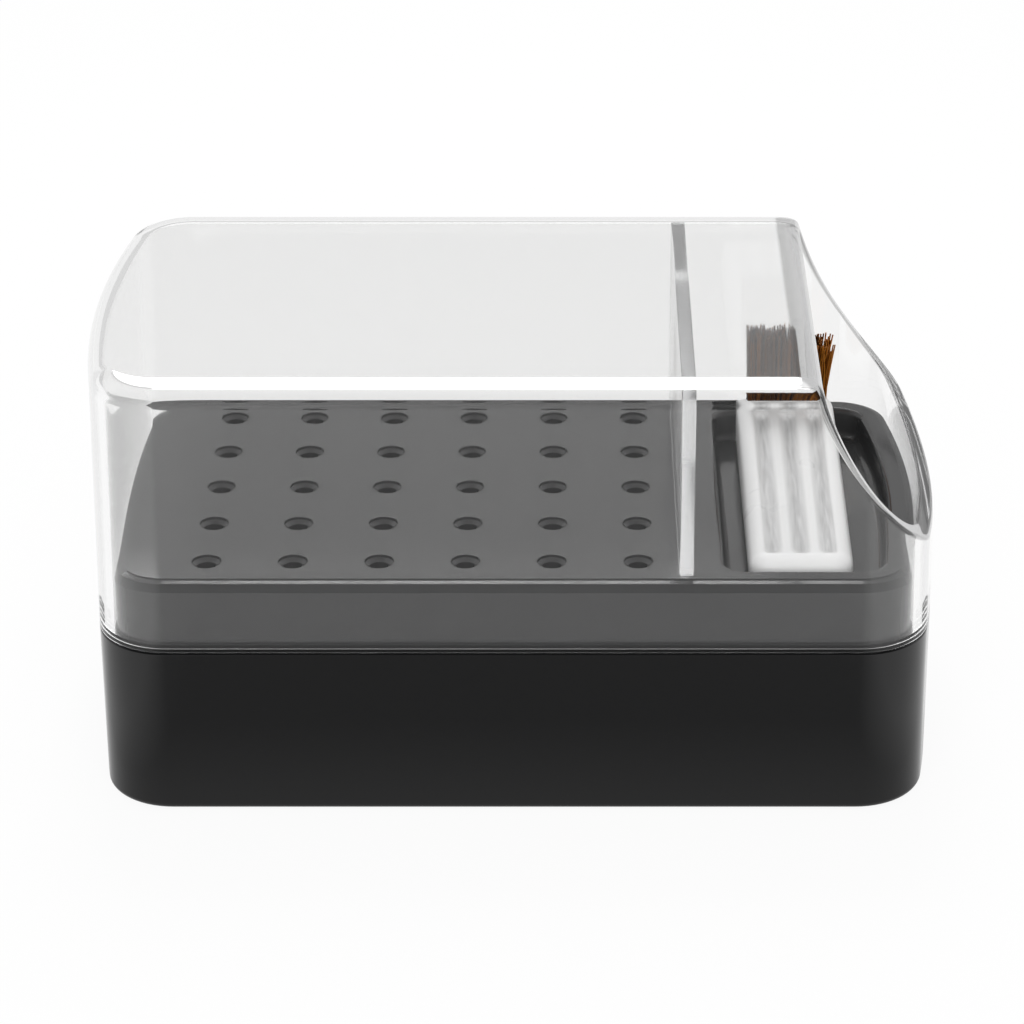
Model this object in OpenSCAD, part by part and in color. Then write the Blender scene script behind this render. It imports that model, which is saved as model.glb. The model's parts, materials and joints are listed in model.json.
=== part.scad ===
// Nail drill bit case: a base tub, a socket tray, a clear lift-off cover with a scooped end, and a wire brush.
// Millimetres. X runs along the case, Y from front to back, Z up from the surface that the case stands on.

/* [Case] */
// Overall length, end to end
case_w = 120; // [114:1:160]
// Overall depth, front to back
case_d = 66; // [62:1:84]
// Radius of the four upright corners
corner_r = 10; // [9:0.5:13]
// Radius of the two bowed ends, seen from above
end_bow_r = 150; // [110:1:200]

/* [Base tub] */
// Height of the tub without its feet
base_h = 25; // [24:0.5:36]
// Thickness of the tub's upright wall
base_wall = 2.2; // [1.6:0.1:2.6]
// Thickness of the tub's floor
floor_t = 2.4; // [1.8:0.1:3.5]
// Rounding of the tub's bottom edge
base_edge_r = 1; // [0.4:0.1:1.6]

/* [Feet] */
// Diameter of a rubber foot
foot_d = 9; // [6:0.5:12]
// How far a foot stands below the tub
foot_proud = 0.8; // [0.5:0.1:1.5]
// How deep a foot is let into the floor
foot_sunk = 0.8; // [0.5:0.1:1.2]
// Clearance all round a foot in its recess
foot_fit = 0.1; // [0.05:0.05:0.3]
// From the case's ends and sides to the middle of a foot
foot_edge = 13; // [12:0.5:18]

/* [Tray] */
// Height of the tray's top above the tub's rim
tray_rise = 10; // [6:0.5:14]
// Thickness of the tray's skirt and of the brush recess's walls
tray_wall = 1.6; // [1.2:0.1:2.2]
// Thickness of the tray's top
tray_top_t = 2.2; // [1.6:0.1:3]
// Rounding of the tray's top edge
tray_edge_r = 1.8; // [0.8:0.1:2.2]
// Clearance between the tray's skirt and the tub
tray_fit = 0.2; // [0.1:0.05:0.5]

/* [Bit sockets] */
// Distance between neighbouring sockets, both ways
socket_pitch = 12; // [9:0.5:15]
// Diameter of a socket's bore, for a bit with a 2.35 shank
socket_d = 3; // [2.5:0.1:4]
// Depth of a socket below the tray's top
socket_depth = 20; // [14:0.5:22]
// Width of the sloping lip around a socket's mouth
socket_lip = 0.7; // [0.3:0.1:1]
// Wall of a socket's tube under the tray
socket_wall = 1.4; // [1:0.1:2]
// From the last column of sockets to the divider
socket_side = 5.5; // [5:0.5:9]
// Least distance from the left end to the first column
socket_end = 14; // [13:0.5:20]
// Least distance from the front and back to the first rows
socket_edge = 8.5; // [8:0.5:12]

/* [Clear cover] */
// Height of the cover, from the tub's rim to its top
cover_h = 40; // [34:1:54]
// Thickness of the cover
cover_wall = 2; // [1.5:0.1:2.6]
// Clearance between the cover and the tray
cover_fit = 0.25; // [0.2:0.05:0.6]
// How far each side leans in from the rim to the top
cover_lean = 0.6; // [0:0.1:1.2]
// Outside rounding of the cover's top edge
cover_edge_r = 3.5; // [3:0.1:5]

/* [Scooped end] */
// Radius of the scoop
scoop_r = 49.4; // [40:0.2:80]
// From the scoop's crest on the cover's top to the end of the case
scoop_len = 18.5; // [16:0.5:24]
// Height of the lip left at the end, above the tray's top
scoop_lip = 2.5; // [1:0.5:6]
// Rounding of the crest
crest_r = 3; // [1:0.5:5]

/* [Divider] */
// Thickness of the clear divider
divider_t = 2; // [1.5:0.1:3]
// Length of the brush bay, from the divider to the end of the case
brush_bay = 35.1; // [34.5:0.5:42]
// Gap under the divider
divider_gap = 0.4; // [0.3:0.1:1.5]
// Rounding of the divider's two lower corners
divider_r = 2; // [1:0.5:4]
// Thickness of the bond line between the divider and the cover
bond_t = 0.05; // [0.02:0.01:0.2]

/* [Brush recess] */
// From the divider to the recess
recess_side = 4.5; // [3:0.5:6]
// From the outside of the case to the recess, at the front, back and end
recess_edge = 6.4; // [6:0.1:7.5]
// Depth of the recess
recess_depth = 4.5; // [4:0.5:7]
// Corner radius of the recess beside the divider
recess_r = 3; // [1.5:0.5:5]

/* [Brush] */
// Width of the brush handle
handle_w = 14.6; // [12:0.2:16]
// How far the handle's front end stands above the tray's top
handle_rise = 0.6; // [0.2:0.1:1.5]
// How much higher than its front end the handle is at the bristles
handle_slope = 3.2; // [1:0.1:4]
// Gap between the handle's front end and the recess
handle_front = 1.6; // [0.8:0.1:2.4]
// Gap between the handle's back end and the recess
handle_back = 1.2; // [0.6:0.1:2]
// Gap between the handle and the recess on the divider's side
handle_side = 3.4; // [2:0.1:4]
// Rounding of the handle's corners, seen from above
handle_corner_r = 3; // [2:0.1:3.2]
// Rounding of the handle's long top edges
handle_edge_r = 2.2; // [1:0.1:2.6]
// Rounding of the handle's lower edges
handle_under_r = 2.2; // [1:0.1:2.4]
// Rounding of the handle's front end, seen from the side
handle_nose_r = 2.4; // [1:0.1:2.6]
// Rounding of the handle's back end, seen from the side
handle_tail_r = 1; // [0.5:0.1:1.2]
// Distance between the three grip flutes
flute_pitch = 3.9; // [3.4:0.1:4.2]
// Width of a flute
flute_w = 2.6; // [2:0.1:3]
// Depth of a flute
flute_depth = 0.7; // [0.3:0.1:1]
// From the handle's front end to the flutes
flute_start = 2.6; // [2.5:0.1:8]

/* [Bristles] */
// Length of the block of bristles along the handle
tuft_l = 5.2; // [4:0.2:8]
// Handle left bare on each side of the bristles
tuft_side = 1.4; // [1.2:0.1:2]
// Handle left bare behind the bristles
tuft_back = 1.2; // [1.2:0.1:2]
// Thickness of the backing that holds the bristles
backing_t = 1.2; // [0.8:0.1:2]
// Clearance around the backing in the handle
backing_fit = 0.05; // [0.02:0.01:0.2]
// Length of a bristle above the handle
bristle_l = 10; // [8:0.5:12]
// Thickness of a bristle
bristle_t = 0.24; // [0.18:0.02:0.26]
// How far the outer bristles spread at their tips
bristle_spread = 0.1; // [0:0.1:0.6]
// How far a bristle's tip strays, as a share of the room it has
bristle_stray = 0.12; // [0:0.02:0.14]
// How uneven the bristles' lengths are, as a share of the length
bristle_uneven = 0.06; // [0:0.01:0.1]
// Number of bristles across the handle
bristles_across = 26; // [25:1:28]
// Number of bristles along the handle
bristles_along = 12; // [12:1:13]

/* [Hidden] */
$fn = 48;
corner_steps = 8;
bow_steps = 6;
edge_steps = 4;
// What a cut runs past the face that it opens
over = 1;

// Heights of the levels that pieces share
tub_z = foot_proud;
floor_z = tub_z + floor_t;
rim_z = tub_z + base_h;
tray_z = rim_z + tray_rise;
cover_z = rim_z + cover_h;
ceiling_z = cover_z - cover_wall;
recess_z = tray_z - recess_depth;
handle_z = tray_z + handle_rise + handle_slope;

// How far the tray is set in, to drop into the tub and to stand inside the leaning cover
tray_lean = cover_lean * tray_rise / cover_h;
tray_in = max(base_wall + tray_fit, cover_wall + tray_lean + cover_fit);

// Places along the case
end_x = case_w / 2;
divider_x = end_x - brush_bay - divider_t;
recess_x = divider_x + divider_t + recess_side;
recess_y = case_d / 2 - recess_edge;
handle_x = recess_x + handle_side;
handle_y0 = handle_front - recess_y;
handle_y1 = recess_y - handle_back;
handle_t = handle_z - recess_z;

// The grid of sockets fills the room left of the divider
columns = floor((divider_x - socket_side + end_x - socket_end) / socket_pitch) + 1;
rows = floor((case_d - 2 * socket_edge) / socket_pitch) + 1;
function socket_x(column) = divider_x - socket_side - column * socket_pitch;
function socket_y(row) = (row - (rows - 1) / 2) * socket_pitch;

// Points on an arc, end points included
function arc(x, y, r, from, to, steps) =
    [for (i = [0:steps]) let (a = from + (to - from) * i / steps) [x + r * cos(a), y + r * sin(a)]];

// Plan of the case: straight sides, bowed ends, and corners tangent to both. "in" sets the outline in.
bow_x = end_x - end_bow_r;
corner_y = case_d / 2 - corner_r;
bow_angle = asin(corner_y / (end_bow_r - corner_r));
corner_x = bow_x + (end_bow_r - corner_r) * cos(bow_angle);
function bow(in) = arc(bow_x, 0, end_bow_r - in, -bow_angle, bow_angle, bow_steps);
function right_end(in) = concat(
    arc(corner_x, -corner_y, corner_r - in, -90, -bow_angle, corner_steps),
    [for (i = [1:bow_steps - 1]) bow(in)[i]],
    arc(corner_x, corner_y, corner_r - in, bow_angle, 90, corner_steps));
function outline(in) = concat(right_end(in), [for (p = right_end(in)) -p]);

// A closed solid through sections with equal numbers of points
module loft(sections) {
    points = [for (section = sections) each section];
    n = len(sections[0]);
    last = len(sections) - 1;
    sides = [for (j = [0:last - 1], i = [0:n - 1])
        let (a = j * n + i, b = j * n + (i + 1) % n)
        each [[a, a + n, b], [b, a + n, b + n]]];
    start_cap = [for (i = [0:n - 1]) i];
    end_cap = [for (i = [n - 1:-1:0]) last * n + i];
    polyhedron(points, concat(sides, [start_cap, end_cap]));
}

// A closed solid through rings of the outline, one for each [in, height] of the profile
module rings(profile) {
    loft([for (level = profile) [for (p = outline(level[0])) [p.x, p.y, level[1]]]]);
}

// [in, height] along a quarter round that starts on an upright wall and ends level
function quarter(in, z, r) = [for (p = arc(0, 0, r, 0, 90, edge_steps)) [in + r - p.x, z - r + p.y]];

// Inside of the cover from its ceiling to its rim, also followed by the divider's edges
cover_inner_r = cover_edge_r - cover_wall;
function leaning_in(z) = cover_lean * (z - rim_z) / cover_h;
function flip(list) = [for (i = [len(list) - 1:-1:0]) list[i]];
cover_inside = concat(
    flip(quarter(cover_wall + leaning_in(ceiling_z - cover_inner_r), ceiling_z, cover_inner_r)),
    [[cover_wall, rim_z]]);

module base_tub() {
    foot_recess_d = foot_d + 2 * foot_fit;
    color([0.08, 0.08, 0.085])
    difference() {
        rings([
            [base_edge_r, tub_z],
            [base_edge_r * 0.3, tub_z + base_edge_r * 0.3],
            [0, tub_z + base_edge_r],
            [0, rim_z],
            [base_wall, rim_z],
            [base_wall, floor_z]]);
        for (side = [-1, 1], end = [-1, 1])
            translate([end * (end_x - foot_edge), side * (case_d / 2 - foot_edge), tub_z - over])
                cylinder(d = foot_recess_d, h = over + foot_sunk);
    }
}

module foot(end, side) {
    color([0.16, 0.16, 0.16])
    translate([end * (end_x - foot_edge), side * (case_d / 2 - foot_edge), 0])
        cylinder(d = foot_d, h = foot_proud + foot_sunk);
}

// Plan of the recess, grown on every side by "out"
module recess_plan(out) {
    r = recess_r + out;
    x = recess_x + recess_r;
    y = recess_y - recess_r;
    polygon(concat(
        arc(x, -y, r, 180, 270, edge_steps),
        right_end(recess_edge - out),
        arc(x, y, r, 90, 180, edge_steps)));
}

module bit_tray() {
    tube_d = socket_d + 2 * socket_wall;
    tube_z = tray_z - socket_depth - socket_wall;
    shell = concat(
        [[tray_in + tray_wall, tray_z - tray_top_t],
         [tray_in + tray_wall, floor_z],
         [tray_in, floor_z]],
        quarter(tray_in, tray_z, tray_edge_r));
    color([0.2, 0.2, 0.21])
    difference() {
        union() {
            rings(shell);
            translate([0, 0, recess_z - tray_wall])
                linear_extrude(recess_depth + tray_wall - tray_top_t / 2)
                    recess_plan(tray_wall);
            for (column = [0:columns - 1], row = [0:rows - 1])
                translate([socket_x(column), socket_y(row), tube_z])
                    cylinder(d = tube_d, h = tray_z - tray_top_t / 2 - tube_z);
        }
        translate([0, 0, recess_z])
            linear_extrude(recess_depth + over)
                recess_plan(0);
        for (column = [0:columns - 1], row = [0:rows - 1])
            translate([socket_x(column), socket_y(row), tray_z]) {
                translate([0, 0, -socket_depth])
                    cylinder(d = socket_d, h = socket_depth + over);
                translate([0, 0, -socket_lip])
                    cylinder(d1 = socket_d, d2 = socket_d + 2 * (socket_lip + over), h = socket_lip + over);
            }
    }
}

// Side view of what the scoop takes away: an arc from the end lip to the crest, which is rounded over
module scoop_plan() {
    crest = [end_x - scoop_len, cover_z];
    lip = [end_x, tray_z + scoop_lip];
    chord = crest - lip;
    sagitta_arm = sqrt(pow(scoop_r, 2) - pow(norm(chord) / 2, 2));
    centre = (crest + lip) / 2 + sagitta_arm * [chord.y, -chord.x] / norm(chord);
    round_z = cover_z - crest_r;
    round_x = centre.x - sqrt(pow(scoop_r + crest_r, 2) - pow(centre.y - round_z, 2));
    slope = atan2(centre.y - round_z, centre.x - round_x);
    past_end = acos((centre.x - end_x - over) / scoop_r);
    polygon(concat(
        [[round_x, cover_z + over]],
        arc(round_x, round_z, crest_r, 90, slope, 2 * edge_steps),
        arc(centre.x, centre.y, scoop_r, 180 + slope, 180 + past_end, 4 * edge_steps),
        [[end_x + over, cover_z + over]]));
}

module clear_cover() {
    shell = concat(
        cover_inside,
        [[0, rim_z]],
        quarter(leaning_in(cover_z - cover_edge_r), cover_z, cover_edge_r));
    color([0.86, 0.88, 0.9, 0.45])
    difference() {
        rings(shell);
        translate([0, case_d / 2 + over, 0])
            rotate([90, 0, 0])
                linear_extrude(case_d + 2 * over)
                    scoop_plan();
    }
}

module cover_divider() {
    bottom = tray_z + divider_gap;
    half = case_d / 2 - cover_wall - leaning_in(bottom) - bond_t;
    above = [for (level = cover_inside) if (level[1] > bottom)
        [case_d / 2 - level[0] - bond_t, level[1] - bond_t]];
    corner = arc(half - divider_r, bottom + divider_r, divider_r, 0, -90, edge_steps);
    edge = concat(above, corner);
    color([0.82, 0.84, 0.86, 0.6])
    translate([divider_x, 0, 0])
        rotate([90, 0, 90])
            linear_extrude(divider_t)
                polygon(concat(edge, [for (p = flip(edge)) [-p.x, p.y]]));
}

// Where the bristles stand on the handle
tuft_w = handle_w - 2 * tuft_side;
tuft_x = handle_x + handle_w / 2;
tuft_y = handle_y1 - tuft_back - tuft_l / 2;

// The handle's top climbs from its front end to the head, which is level under the bristles
head_margin = 0.6;
head_y = tuft_y - tuft_l / 2 - head_margin;
top_angle = atan(handle_slope / (head_y - handle_y0));
function handle_top(y) = handle_z - max(0, head_y - y) * tan(top_angle);

// How far a face draws back at a distance s from the end of a rounding of radius r
function draw_back(s, r) = s >= r ? 0 : r - sqrt(r * r - (r - s) * (r - s));

// Section of the handle at y: a rectangle with rounded corners, smaller near both ends
function handle_section(y) =
    let (
        s0 = y - handle_y0,
        s1 = handle_y1 - y,
        in = draw_back(min(s0, s1), handle_corner_r),
        x0 = handle_x + in,
        x1 = handle_x + handle_w - in,
        z0 = recess_z + draw_back(min(s0, s1), handle_under_r),
        z1 = handle_top(y) - draw_back(s0, handle_nose_r) - draw_back(s1, handle_tail_r),
        low = min(handle_under_r, 0.48 * (z1 - z0)),
        top = min(handle_edge_r, 0.48 * (z1 - z0)),
        section = concat(
            arc(x0 + low, z0 + low, low, 180, 270, edge_steps),
            arc(x1 - low, z0 + low, low, 270, 360, edge_steps),
            arc(x1 - top, z1 - top, top, 0, 90, edge_steps),
            arc(x0 + top, z1 - top, top, 90, 180, edge_steps)))
    [for (p = flip(section)) [p.x, y, p.y]];

module brush_handle() {
    flute_r = (pow(flute_w / 2, 2) + pow(flute_depth, 2)) / (2 * flute_depth);
    flute_end = head_y - head_margin;
    flute_l = (flute_end - handle_y0 - flute_start) / cos(top_angle);
    lift = flute_r - flute_depth;
    ends = [for (i = [0:edge_steps]) handle_corner_r * (1 - cos(90 * i / edge_steps))];
    stations = concat(
        [for (e = ends) handle_y0 + e],
        [head_y],
        [for (e = flip(ends)) handle_y1 - e]);
    color([0.95, 0.95, 0.94])
    difference() {
        loft([for (y = stations) handle_section(y)]);
        for (i = [-1:1])
            translate([
                tuft_x + i * flute_pitch,
                flute_end - lift * sin(top_angle),
                handle_top(flute_end) + lift * cos(top_angle)])
                rotate([90 + top_angle, 0, 0])
                    cylinder(r = flute_r, h = flute_l);
        translate([tuft_x - tuft_w / 2 - backing_fit, tuft_y - tuft_l / 2 - backing_fit, handle_z - backing_t])
            cube([tuft_w + 2 * backing_fit, tuft_l + 2 * backing_fit, backing_t + over]);
    }
}

// One closed solid: a slice of backing whose top is a grid of cells, with a four-sided wire in each cell
module brush_bristles() {
    nx = bristles_across;
    ny = bristles_along;
    cell = [tuft_w / nx, tuft_l / ny];
    low = [tuft_x - tuft_w / 2, tuft_y - tuft_l / 2];
    square4 = [[-1, -1], [1, -1], [1, 1], [-1, 1]] * bristle_t / 2;
    function middle(i, j) = low + [(i + 0.5) * cell.x, (j + 0.5) * cell.y];
    function out(i, n) = (2 * i + 1) / n - 1;
    function uneven(i, j) = sin(137.5 * (i + nx * j));
    function tip(i, j) = let (u = uneven(i, j)) [
        middle(i, j).x + bristle_spread * out(i, nx) + bristle_stray * cell.x * u,
        middle(i, j).y + bristle_spread * out(j, ny) + bristle_stray * cell.y * uneven(j, i),
        handle_z + bristle_l * (1 - bristle_uneven * (1 - u))];
    grid = [for (j = [0:ny], i = [0:nx]) [low.x + i * cell.x, low.y + j * cell.y, handle_z]];
    wires = [for (j = [0:ny - 1], i = [0:nx - 1])
        each concat(
            [for (c = square4) [middle(i, j).x + c.x, middle(i, j).y + c.y, handle_z]],
            [for (c = square4) tip(i, j) + [c.x, c.y, 0]])];
    under = [for (c = [[0, 0], [1, 0], [1, 1], [0, 1]])
        [low.x + c.x * tuft_w, low.y + c.y * tuft_l, handle_z - backing_t]];
    wire0 = len(grid);
    under0 = wire0 + len(wires);
    function corner(i, j) = j * (nx + 1) + i;
    function strip(points, first, second) = concat(
        [for (k = [0:len(points) - 2]) [first, points[k], points[k + 1]]],
        [[first, points[len(points) - 1], second]]);
    cells = [for (j = [0:ny - 1], i = [0:nx - 1])
        let (
            w = wire0 + 8 * (j * nx + i),
            g = [corner(i, j), corner(i + 1, j), corner(i + 1, j + 1), corner(i, j + 1)])
        each concat(
            [for (k = [0:3]) each let (m = (k + 1) % 4) [
                [g[k], w + k, g[m]], [g[m], w + k, w + m],
                [w + k, w + 4 + k, w + m], [w + m, w + 4 + k, w + 4 + m]]],
            [[w + 4, w + 7, w + 6], [w + 4, w + 6, w + 5]])];
    walls = concat(
        strip([for (i = [0:nx]) corner(i, 0)], under0, under0 + 1),
        strip([for (j = [0:ny]) corner(nx, j)], under0 + 1, under0 + 2),
        strip([for (i = [nx:-1:0]) corner(i, ny)], under0 + 2, under0 + 3),
        strip([for (j = [ny:-1:0]) corner(0, j)], under0 + 3, under0));
    floor_faces = [[under0, under0 + 1, under0 + 2], [under0, under0 + 2, under0 + 3]];
    color([0.42, 0.27, 0.15])
    polyhedron(concat(grid, wires, under), concat(cells, walls, floor_faces));
}

base_tub();
foot(-1, -1);  // foot_front_left
foot(1, -1);  // foot_front_right
foot(-1, 1);  // foot_rear_left
foot(1, 1);  // foot_rear_right
bit_tray();
clear_cover();
cover_divider();
brush_handle();
brush_bristles();
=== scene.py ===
# %% [markdown]
# A case for nail drill bits: a glossy black tub, a dark tray with rows of sockets, a clear lift-off cover
# with one scooped end, and a small wire brush that lies in a recess of the tray. The CAD frame already
# has every piece in its place. It could be shown as it is, but its facets are coarse, so each piece is
# worked out again here as a smooth surface with its own finish, at the same size and place.

# %% Load the frame
import json
import math
import bpy
import numpy as np
from mathutils.geometry import delaunay_2d_cdt
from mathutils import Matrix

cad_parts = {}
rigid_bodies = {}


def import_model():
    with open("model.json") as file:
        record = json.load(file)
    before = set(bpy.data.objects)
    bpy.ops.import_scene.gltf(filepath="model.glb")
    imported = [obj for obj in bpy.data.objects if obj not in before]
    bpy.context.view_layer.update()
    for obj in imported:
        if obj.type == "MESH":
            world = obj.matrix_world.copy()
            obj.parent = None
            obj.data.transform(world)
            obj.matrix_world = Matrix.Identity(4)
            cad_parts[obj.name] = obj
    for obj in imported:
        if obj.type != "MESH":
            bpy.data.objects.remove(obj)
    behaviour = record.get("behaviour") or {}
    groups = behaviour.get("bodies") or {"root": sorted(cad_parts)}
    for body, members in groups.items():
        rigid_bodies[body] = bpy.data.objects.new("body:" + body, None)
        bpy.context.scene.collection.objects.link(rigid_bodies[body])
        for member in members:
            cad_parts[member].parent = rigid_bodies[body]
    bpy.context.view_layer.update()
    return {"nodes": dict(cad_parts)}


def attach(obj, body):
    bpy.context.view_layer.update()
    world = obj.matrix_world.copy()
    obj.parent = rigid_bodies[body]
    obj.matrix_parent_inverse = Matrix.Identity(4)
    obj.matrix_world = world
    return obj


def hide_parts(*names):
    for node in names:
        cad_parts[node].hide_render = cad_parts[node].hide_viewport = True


for leftover in list(bpy.data.objects):
    bpy.data.objects.remove(leftover)
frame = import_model()
scene = bpy.context.scene
scene.view_settings.view_transform = "Standard"
MM = 0.001
print("CAD nodes:", sorted(frame["nodes"]))

# %% [markdown]
# The camera stands in front of the case and looks down at it through a long lens, so upright edges stay
# nearly upright in the picture. Its place was worked out from the grid of sockets, which is square on the
# real tray.

# %% Camera
camera_data = bpy.data.cameras.new("front_camera")
camera_data.sensor_width = 36.0
camera_data.lens = 127.8
camera_data.shift_x = -0.0616
camera = bpy.data.objects.new("front_camera", camera_data)
camera.location = (0.0086, -0.4757, 0.2631)
camera.rotation_euler = (math.radians(64.03), 0.0, 0.0)
scene.collection.objects.link(camera)
scene.camera = camera
print("camera at", tuple(round(v, 4) for v in camera.location))

# %% [markdown]
# Every finish below is a small graph of shader nodes. These helpers keep the graphs short: one makes a
# material with a Principled shader, one adds a node, and one adds noise read from Object coordinates, so
# a pattern stays fixed to its piece when the piece moves.

# %% Material helpers
def add(tree, kind, **values):
    """Adds a node, and sets its inputs or properties by name."""
    node = tree.nodes.new(kind)
    for name, value in values.items():
        label = name.replace("_", " ")
        socket = next((s for s in node.inputs if s.name.lower() == label), None)
        if socket is not None:
            socket.default_value = value
        else:
            setattr(node, name, value)
    return node


def wire(tree, source, target):
    """Joins an output socket to an input socket."""
    tree.links.new(source, target)


def new_finish(name, **values):
    """A material with one Principled shader: returns the material, its tree and the shader."""
    finish = bpy.data.materials.new(name)
    finish.use_nodes = True
    tree = finish.node_tree
    shader = tree.nodes["Principled BSDF"]
    for label, value in values.items():
        shader.inputs[label.replace("_", " ")].default_value = value
    return finish, tree, shader


def noise(tree, scale, detail=2.0, stretch=(1.0, 1.0, 1.0)):
    """Noise in the piece's own coordinates, scale cells to a metre, stretched by a mapping."""
    place = add(tree, "ShaderNodeTexCoord")
    mapping = add(tree, "ShaderNodeMapping", scale=stretch)
    wire(tree, place.outputs["Object"], mapping.inputs["Vector"])
    texture = add(tree, "ShaderNodeTexNoise", scale=scale, detail=detail)
    wire(tree, mapping.outputs["Vector"], texture.inputs["Vector"])
    return texture.outputs["Fac"]


def between(tree, factor, low, high, start=0.3, end=0.7):
    """A number that runs from low to high as the factor runs from start to end."""
    node = add(tree, "ShaderNodeMapRange", from_min=start, from_max=end, to_min=low, to_max=high)
    wire(tree, factor, node.inputs["Value"])
    return node.outputs["Result"]


def bump(tree, shader, height, distance):
    """Tilts the shading as if the surface rose by the height, where 1 stands for the distance in metres."""
    node = add(tree, "ShaderNodeBump", strength=1.0, distance=distance)
    wire(tree, height, node.inputs["Height"])
    wire(tree, node.outputs["Normal"], shader.inputs["Normal"])


def blend(tree, low, high, factor, target):
    """A colour that runs from low to high by a factor, joined to a colour input."""
    node = add(tree, "ShaderNodeMix", data_type="RGBA")
    node.inputs[6].default_value = low
    node.inputs[7].default_value = high
    wire(tree, factor, node.inputs["Factor"])
    wire(tree, node.outputs[2], target)


def calc(tree, operation, *values, clamp=False):
    """A sum done by a node, where each value is a number or the output of another node."""
    node = add(tree, "ShaderNodeMath", operation=operation, use_clamp=clamp)
    for socket, value in zip(node.inputs, values):
        if isinstance(value, float):
            socket.default_value = value
        else:
            wire(tree, value, socket)
    return node.outputs[0]


def largest(tree, *outputs):
    """The largest of several 0-to-1 values."""
    total = outputs[0]
    for output in outputs[1:]:
        total = calc(tree, "MAXIMUM", total, output)
    return total


def either(tree, factor, first, second, end):
    """Two shaders mixed by a factor, joined to the end node of the graph."""
    mix = add(tree, "ShaderNodeMixShader")
    wire(tree, factor, mix.inputs[0])
    wire(tree, first.outputs[0], mix.inputs[1])
    wire(tree, second.outputs[0], mix.inputs[2])
    wire(tree, mix.outputs[0], tree.nodes[end].inputs["Surface"])


# %% [markdown]
# The tub is moulded in black plastic with a polished mould, so it has a clean gloss with a very faint
# waviness and hardly any colour of its own. A flat black would look like a hole: what shows the shape is
# the reflection, which grows towards the edges. The tray is the same plastic from a finely grained mould,
# so it is satin.

# %% Black gloss and tray satin
def black_gloss():
    """Black with a polished surface: broad soft waves, and polish that varies a little."""
    finish, tree, shader = new_finish(
        "black_gloss", Base_Color=(0.0022, 0.0022, 0.0024, 1.0), Specular_IOR_Level=0.45)
    wire(tree, between(tree, noise(tree, 90.0), 0.10, 0.16), shader.inputs["Roughness"])
    bump(tree, shader, noise(tree, 60.0), 0.00004)
    return finish


def tray_satin():
    """Dark satin plastic: a fine grain in the surface and a slightly uneven polish."""
    finish, tree, shader = new_finish("tray_satin", Specular_IOR_Level=0.58)
    darker, lighter = (0.031, 0.031, 0.0315, 1.0), (0.038, 0.038, 0.0385, 1.0)
    blend(tree, darker, lighter, noise(tree, 240.0), shader.inputs["Base Color"])
    wire(tree, between(tree, noise(tree, 160.0), 0.12, 0.17), shader.inputs["Roughness"])
    bump(tree, shader, noise(tree, 1500.0), 0.0000004)
    return finish


# %% [markdown]
# The cover and its divider are clear moulded plastic, about as strong in refraction as window glass. A
# see-through material could be faked with plain transparency, but then the thick rounded edges would not
# bend the light, and it is those bright and dark edge lines that make it read as plastic. So it refracts
# for what the eye sees, and lets light for shadows straight through, as a thin clear wall does. The
# divider is a little hazy.

# %% Clear plastic
def clear_plastic(name, tint, wave, haze):
    """Refracting plastic: faint waves from moulding, roughness between the two levels of the haze, and clear
    to shadow rays. Light that has bounced about in the wall for long leaves it by the outer skin. The cut
    edge is tinted darker: painted shade, for the dark band that refraction gives along the thick edge."""
    finish, tree, shader = new_finish(name, IOR=1.49, Transmission_Weight=1.0, Specular_IOR_Level=0.5)
    cut = add(tree, "ShaderNodeAttribute", attribute_name="cut_edge")
    # Painted shade: the cut edge's tint is darker than the rest of the clear plastic.
    cut_edge_shade = (0.36, 0.36, 0.36, 1.0)
    blend(tree, tint, cut_edge_shade, cut.outputs["Fac"], shader.inputs["Base Color"])
    wire(tree, between(tree, noise(tree, 300.0, 3.0), *haze), shader.inputs["Roughness"])
    bump(tree, shader, noise(tree, 45.0), wave)
    path = add(tree, "ShaderNodeLightPath")
    inner = add(tree, "ShaderNodeAttribute", attribute_name="inner_skin")
    steps = calc(tree, "MULTIPLY_ADD", inner.outputs["Fac"], -100.0, path.outputs["Ray Depth"])
    deep = calc(tree, "GREATER_THAN", steps, 4.5)
    through = largest(tree, path.outputs["Is Shadow Ray"], path.outputs["Is Diffuse Ray"], deep)
    clear = add(tree, "ShaderNodeBsdfTransparent", color=(0.91, 0.91, 0.912, 1.0))
    either(tree, through, shader, clear, "Material Output")
    return finish


# %% [markdown]
# The brush has a glossy white handle with painted shade in its grip flutes, grey and in streaks, and
# bristles of bronze wire. Each wire carries a tone of its own at random, and drawing lines run along it; the
# wires at the right end are painted lighter and more golden, a painted highlight where they stand in the
# light. The feet are plain matt rubber.

# %% White plastic, bronze wire and rubber
def white_plastic():
    """Glossy white with soft mould waves, and painted shade, grey in streaks, along the grip flutes."""
    finish, tree, shader = new_finish("white_plastic", Specular_IOR_Level=0.4)
    flute = add(tree, "ShaderNodeAttribute", attribute_name="flute")
    streaks = between(tree, noise(tree, 2200.0, 3.0, (1.0, 0.03, 1.0)), 0.4, 1.0)
    # Painted shade: the white turns grey in streaks by the depth of the flutes' dip.
    flute_shade = calc(tree, "MULTIPLY", flute.outputs["Fac"], streaks)
    unshaded, shaded = (0.90, 0.90, 0.895, 1.0), (0.45, 0.45, 0.45, 1.0)
    blend(tree, unshaded, shaded, flute_shade, shader.inputs["Base Color"])
    wire(tree, between(tree, noise(tree, 120.0), 0.27, 0.32), shader.inputs["Roughness"])
    bump(tree, shader, noise(tree, 60.0), 0.00001)
    return finish


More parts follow.
